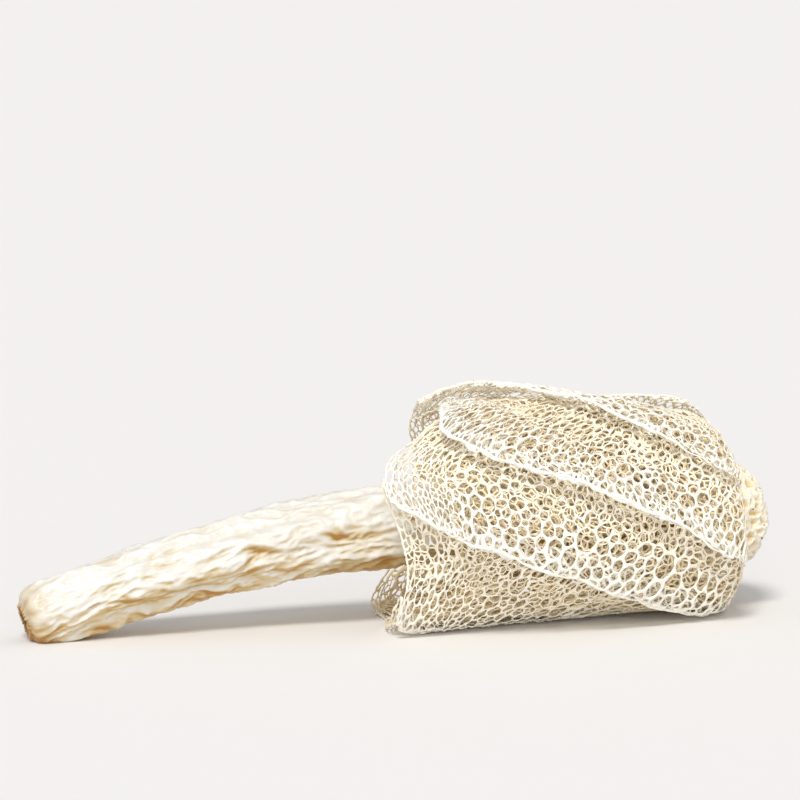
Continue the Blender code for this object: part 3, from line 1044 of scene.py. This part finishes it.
# The golden last tone is painted shade; the first is the lit strand
outer_lace = lace("dried_lace", "fbf8f1", "fbf5e5", "f7e4ba")
for net in outer_nets:
    make_lace(net, NET_STRAND, 1)
    net.data.materials.append(outer_lace)
    print(net.name, count_triangles(net), "triangles")


# %% [markdown]
# ### The crests
# Where the net is bent back on itself its strands lie side by side and stick together, which gives the
# smooth white cords that run slantwise over the skirt. Each one is a curve along a crest of the folds, with
# a thickness that comes and goes, turned into a mesh.

# %% Net: the cords along the crests
CORD_RADIUS = 0.62 * MM


def make_cords():
    curve = bpy.data.curves.new("crests", "CURVE")
    curve.dimensions = "3D"
    curve.bevel_depth = CORD_RADIUS
    curve.bevel_resolution = 3
    curve.use_fill_caps = True
    for number, crest in enumerate(folds.crests):
        start, end = 0.56 + 0.02 * (number % 3), 0.985
        steps = 150
        spline_curve = curve.splines.new("POLY")
        spline_curve.points.add(steps)
        for step, point in enumerate(spline_curve.points):
            share = mix(start, end, step / steps)
            turn = TURN * (crest + 0.0016 * math.sin(share * 60 + number) + sweep(share) / 360)
            spot, _ = outer_surface(turn, share)
            uneven = 0.72 + 0.5 * noise.noise(spot / (6 * MM)) + 0.3 * noise.noise(spot / (1.8 * MM))
            point.co = (*spot, 1)
            point.radius = max(0.3, uneven) * mix(0.35, 1, smooth(start, start + 0.1, share))
    cords = bpy.data.objects.new("net_skirt_crests", curve)
    bpy.context.scene.collection.objects.link(cords)
    make_active(cords)
    bpy.ops.object.convert(target="MESH")
    cords = bpy.context.object
    cords.data.shade_smooth()
    store(cords, "depth", [0.1] * len(cords.data.vertices))
    return cords


cords = make_cords()
cords.data.materials.clear()
cords.data.materials.append(outer_lace)
print("cords along the crests:", count_triangles(cords), "triangles")


# %% [markdown]
# ### The layers underneath
# Under the outer net lie the parts of the skirt that are folded in. They show through the holes as a finer,
# darker web, and they are what makes the net look deep and golden: the golden light of the folds is painted
# into their colour, warmer the further in they lie. Three more nets, each a little further in and with its
# own crumple, stand for them. They need no kinks or rounding, because only slivers of them are seen.

# %% Net: the folded-in layers
def inner_surface(depth, size, amount):
    def surface(turn, share):
        spot = drape(turn, share, 0.3 * FOLD_RISE - depth)
        spot += crumple(spot + Vector((0, 0, depth * 9)), size, amount)
        spot.z = settle(spot.z, SKIRT_FLOOR + 0.5 * depth, SKIRT_FLAT_BLEND)
        # Painted shade: the further in a layer lies, the warmer it is painted
        return spot, 0.1 + 0.07 * depth / MM

    return surface


def inner_girth(share):
    return sleeve(share)[1] * 1.04


def inner_spacing(depth, pitch):
    def spacing(turn, share):
        spot = drape(turn, share, 0) + Vector((0, 0, depth * 9))
        return pitch * (1 + 0.3 * noise.noise(spot / (8 * MM)))

    return spacing


# Name, depth under the outer layer, size of the cells, thickness of the strands, crumple, share at its hem
# and seed
INNER_LAYERS = [
    ("net_skirt_second", 1.2 * MM, 2.7 * MM, 0.75 * MM, 1.4 * MM, 0.97, 27),
    ("net_skirt_third", 2.3 * MM, 2.4 * MM, 1.10 * MM, 1.3 * MM, 0.92, 31),
    ("net_skirt_inner", 3.4 * MM, 2.3 * MM, 1.25 * MM, 1.3 * MM, 0.88, 41),
]
# Painted light: the folded-in layers are painted warmer and a little brighter than the outer lace, as the
# golden light that bounces about in the folds
inner_lace = lace("dried_lace_folded_in", "fffaec", "fef1d4", "fae0aa")
inner_layers = []
for name, depth, pitch, strand, crumpled, hem, seed in INNER_LAYERS:
    inner_band = Band(sleeve, inner_girth, 0.50, hem, lambda share: 1)
    layer = lay_net(
        name, inner_band, inner_girth, inner_spacing(depth, pitch), inner_surface(depth, 7 * MM, crumpled),
        lambda turn, share: 0.78, seed, 0.4 * MM, 10
    )
    make_lace(layer, strand, 0)
    layer.data.materials.append(inner_lace)
    inner_layers.append(layer)
    print(name, count_triangles(layer), "triangles")


# %% [markdown]
# ## The cap
# The cap is a small bell whose skin stands in honeycomb ridges round deep pits. Its outline is spun round
# the stem's end, and each vertex is then sunk by how far it lies from the border between two cells of a
# Voronoi pattern.

# %% Cap: the bell
CAP_RIM_X = TIP_X - 27 * MM
CAP_PROFILE = [(0, 13.2), (3, 15.0), (10, 15.8), (18, 14.6), (23, 11.8), (26, 7.6), (27, 3.0)]
CAP_PIT_PITCH = 3.0 * MM
CAP_PIT_DEPTH = 1.4 * MM
CAP_GRAIN_PITCH = 1.25 * MM
CAP_GRAIN_DEPTH = 0.4 * MM
CAP_SECTIONS = 34
CAP_STEPS = 60


def cap_section(share):
    x, radius = spline(CAP_PROFILE, share)
    return CAP_RIM_X + x * MM, radius * MM


def make_cap_bell():
    deselect_all()
    bpy.ops.mesh.primitive_plane_add(size=1 * MM)
    cap = bpy.context.object
    cap.name = "cap_skin"
    edit(cap, "VERT")
    bpy.ops.mesh.select_all(action="SELECT")
    bpy.ops.mesh.delete(type="VERT")
    bm = bmesh.from_edit_mesh(cap.data)
    outline = [(CAP_RIM_X + x * MM, r * MM) for x, r in ((5, 8.2), (1.2, 9.6), (0.2, 11.6))]
    outline += [cap_section(step / CAP_SECTIONS) for step in range(CAP_SECTIONS + 1)]
    outline += [(TIP_X - 0.6 * MM, 2.0 * MM), (TIP_X - 2.4 * MM, 1.6 * MM), (TIP_X - 2.6 * MM, 0)]
    row = [bm.verts.new((x, 0, r)) for x, r in outline]
    for a, b in zip(row, row[1:]):
        bm.edges.new((a, b))
    bmesh.update_edit_mesh(cap.data)
    bpy.ops.mesh.select_all(action="SELECT")
    bpy.ops.mesh.spin(steps=CAP_STEPS, angle=TURN, center=(0, 0, 0), axis=(1, 0, 0))
    bpy.ops.mesh.select_all(action="SELECT")
    bpy.ops.mesh.remove_doubles(threshold=0.02 * MM)
    bpy.ops.mesh.normals_make_consistent(inside=False)
    bpy.ops.object.mode_set(mode="OBJECT")
    return cap


# %% [markdown]
# Large pits with a finer grain between them give the honeycomb. A slow noise bends the pattern first, so
# that no row of pits is straight.

# %% Cap: the pits
def shape_cap(cap):
    normals = [vertex.normal.copy() for vertex in cap.data.vertices]
    painted_pit_shade = []
    for vertex, normal in zip(cap.data.vertices, normals):
        spot = vertex.co.copy()
        bent = spot + noise.noise_vector(spot / (6 * MM)) * 1.2 * MM
        near = noise.voronoi(bent / CAP_PIT_PITCH)[0]
        pit = smooth(0.02, 0.6, near[1] - near[0])
        grain = noise.voronoi(bent / CAP_GRAIN_PITCH)[0]
        on_skin = smooth(9.5 * MM, 12.5 * MM, spot.yz.length) if spot.x < CAP_RIM_X + 2 * MM else 1
        spot -= normal * CAP_PIT_DEPTH * pit * on_skin
        spot -= normal * CAP_GRAIN_DEPTH * smooth(0, 0.5, grain[1] - grain[0]) * on_skin
        spot += normal * (0.35 * noise.noise(spot / (1.3 * MM)) + 0.9 * noise.noise(spot / (5 * MM))) * MM
        vertex.co = place(spot.x, spot.y, spot.z)
        # How deep each point lies in a pit, kept for the painted pit shade
        painted_pit_shade.append(pit * on_skin)
    store(cap, "pit", painted_pit_shade)


cap = make_cap_bell()
subdivide_surface(cap, 2)
shape_cap(cap)
cap.data.shade_smooth()
cap.data.materials.clear()
cap.data.materials.append(cap_skin())
print("cap skin:", count_triangles(cap), "triangles")

# %% [markdown]
# ## Standing in for the solids
# Each fine piece rides on the one body. The stem, the outer nets and the cap stand for their solids, which
# are hidden; the cords and the folded-in layers ride along with them.

# %% Tie the pieces to the frame
for piece, node in ((stem, "stem"), *((net, "net_skirt") for net in outer_nets), (cap, "cap")):
    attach(piece, "root")
    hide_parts(node)
for layer in (cords, *inner_layers):
    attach(layer, "root")

# %% [markdown]
# ## Stage, light and camera
# A pale floor runs out of sight, as in a product photograph on white. It is a shade darker than white, so
# that the white skin stands out from it.

# %% Floor
bpy.ops.mesh.primitive_circle_add(vertices=96, radius=60, fill_type="NGON", location=(0, 0, -0.05 * MM))
floor = bpy.context.object
floor.name = "floor"
floor_material, floor_shader = new_material("matt_white_board")
floor_shader.inputs["Base Color"].default_value = linear("efeeed")
floor_shader.inputs["Roughness"].default_value = 0.9
floor.data.materials.append(floor_material)

# %% [markdown]
# The light is a bright even surround, a broad soft key from above on the left, and a weak, very soft fill
# from low in front, as a white card beside the camera gives.

# %% Light
world = bpy.data.worlds.new("surround")
bpy.context.scene.world = world
world.use_nodes = True
world.node_tree.nodes["Background"].inputs["Color"].default_value = linear("f6f6f8")
world.node_tree.nodes["Background"].inputs["Strength"].default_value = 0.55


def direction(azimuth, elevation):
    """From the object towards an azimuth, where 0 is the front and 90 the right, and an elevation."""
    a, e = math.radians(azimuth), math.radians(elevation)
    return Vector((math.sin(a) * math.cos(e), -math.cos(a) * math.cos(e), math.sin(e)))


def add_sun(name, azimuth, elevation, strength, softness, colour):
    data = bpy.data.lights.new(name, "SUN")
    data.energy = strength
    data.angle = math.radians(softness)
    data.color = linear(colour)[:3]
    sun = bpy.data.objects.new(name, data)
    bpy.context.scene.collection.objects.link(sun)
    sun.rotation_euler = (-direction(azimuth, elevation)).to_track_quat("-Z", "Y").to_euler()


add_sun("key", -25, 55, 1.9, 16, "fffcf8")
add_sun("fill", -15, 14, 0.75, 40, "fffdf9")
print("suns:", [light.name for light in bpy.data.lights])

# %% [markdown]
# The camera looks from slightly above and a little from the base end, which is what makes that end loom.

# %% Camera
CAMERA_AZIMUTH = -15
CAMERA_ELEVATION = 8
CAMERA_DISTANCE = 1.15
FRAME_WIDTH = 0.207
AIM = Vector((0.0005, 0, 0.058))

camera_data = bpy.data.cameras.new("camera")
camera = bpy.data.objects.new("camera", camera_data)
bpy.context.scene.collection.objects.link(camera)
back = direction(CAMERA_AZIMUTH, CAMERA_ELEVATION)
camera.location = AIM + back * CAMERA_DISTANCE
camera.rotation_euler = (-back).to_track_quat("-Z", "Y").to_euler()
camera_data.lens = camera_data.sensor_width * CAMERA_DISTANCE / FRAME_WIDTH
camera_data.clip_start = 0.01
camera_data.clip_end = 20
bpy.context.scene.camera = camera
bpy.context.scene.view_settings.view_transform = "Standard"
print("camera:", round(camera_data.lens), "mm lens,", CAMERA_DISTANCE, "m away")
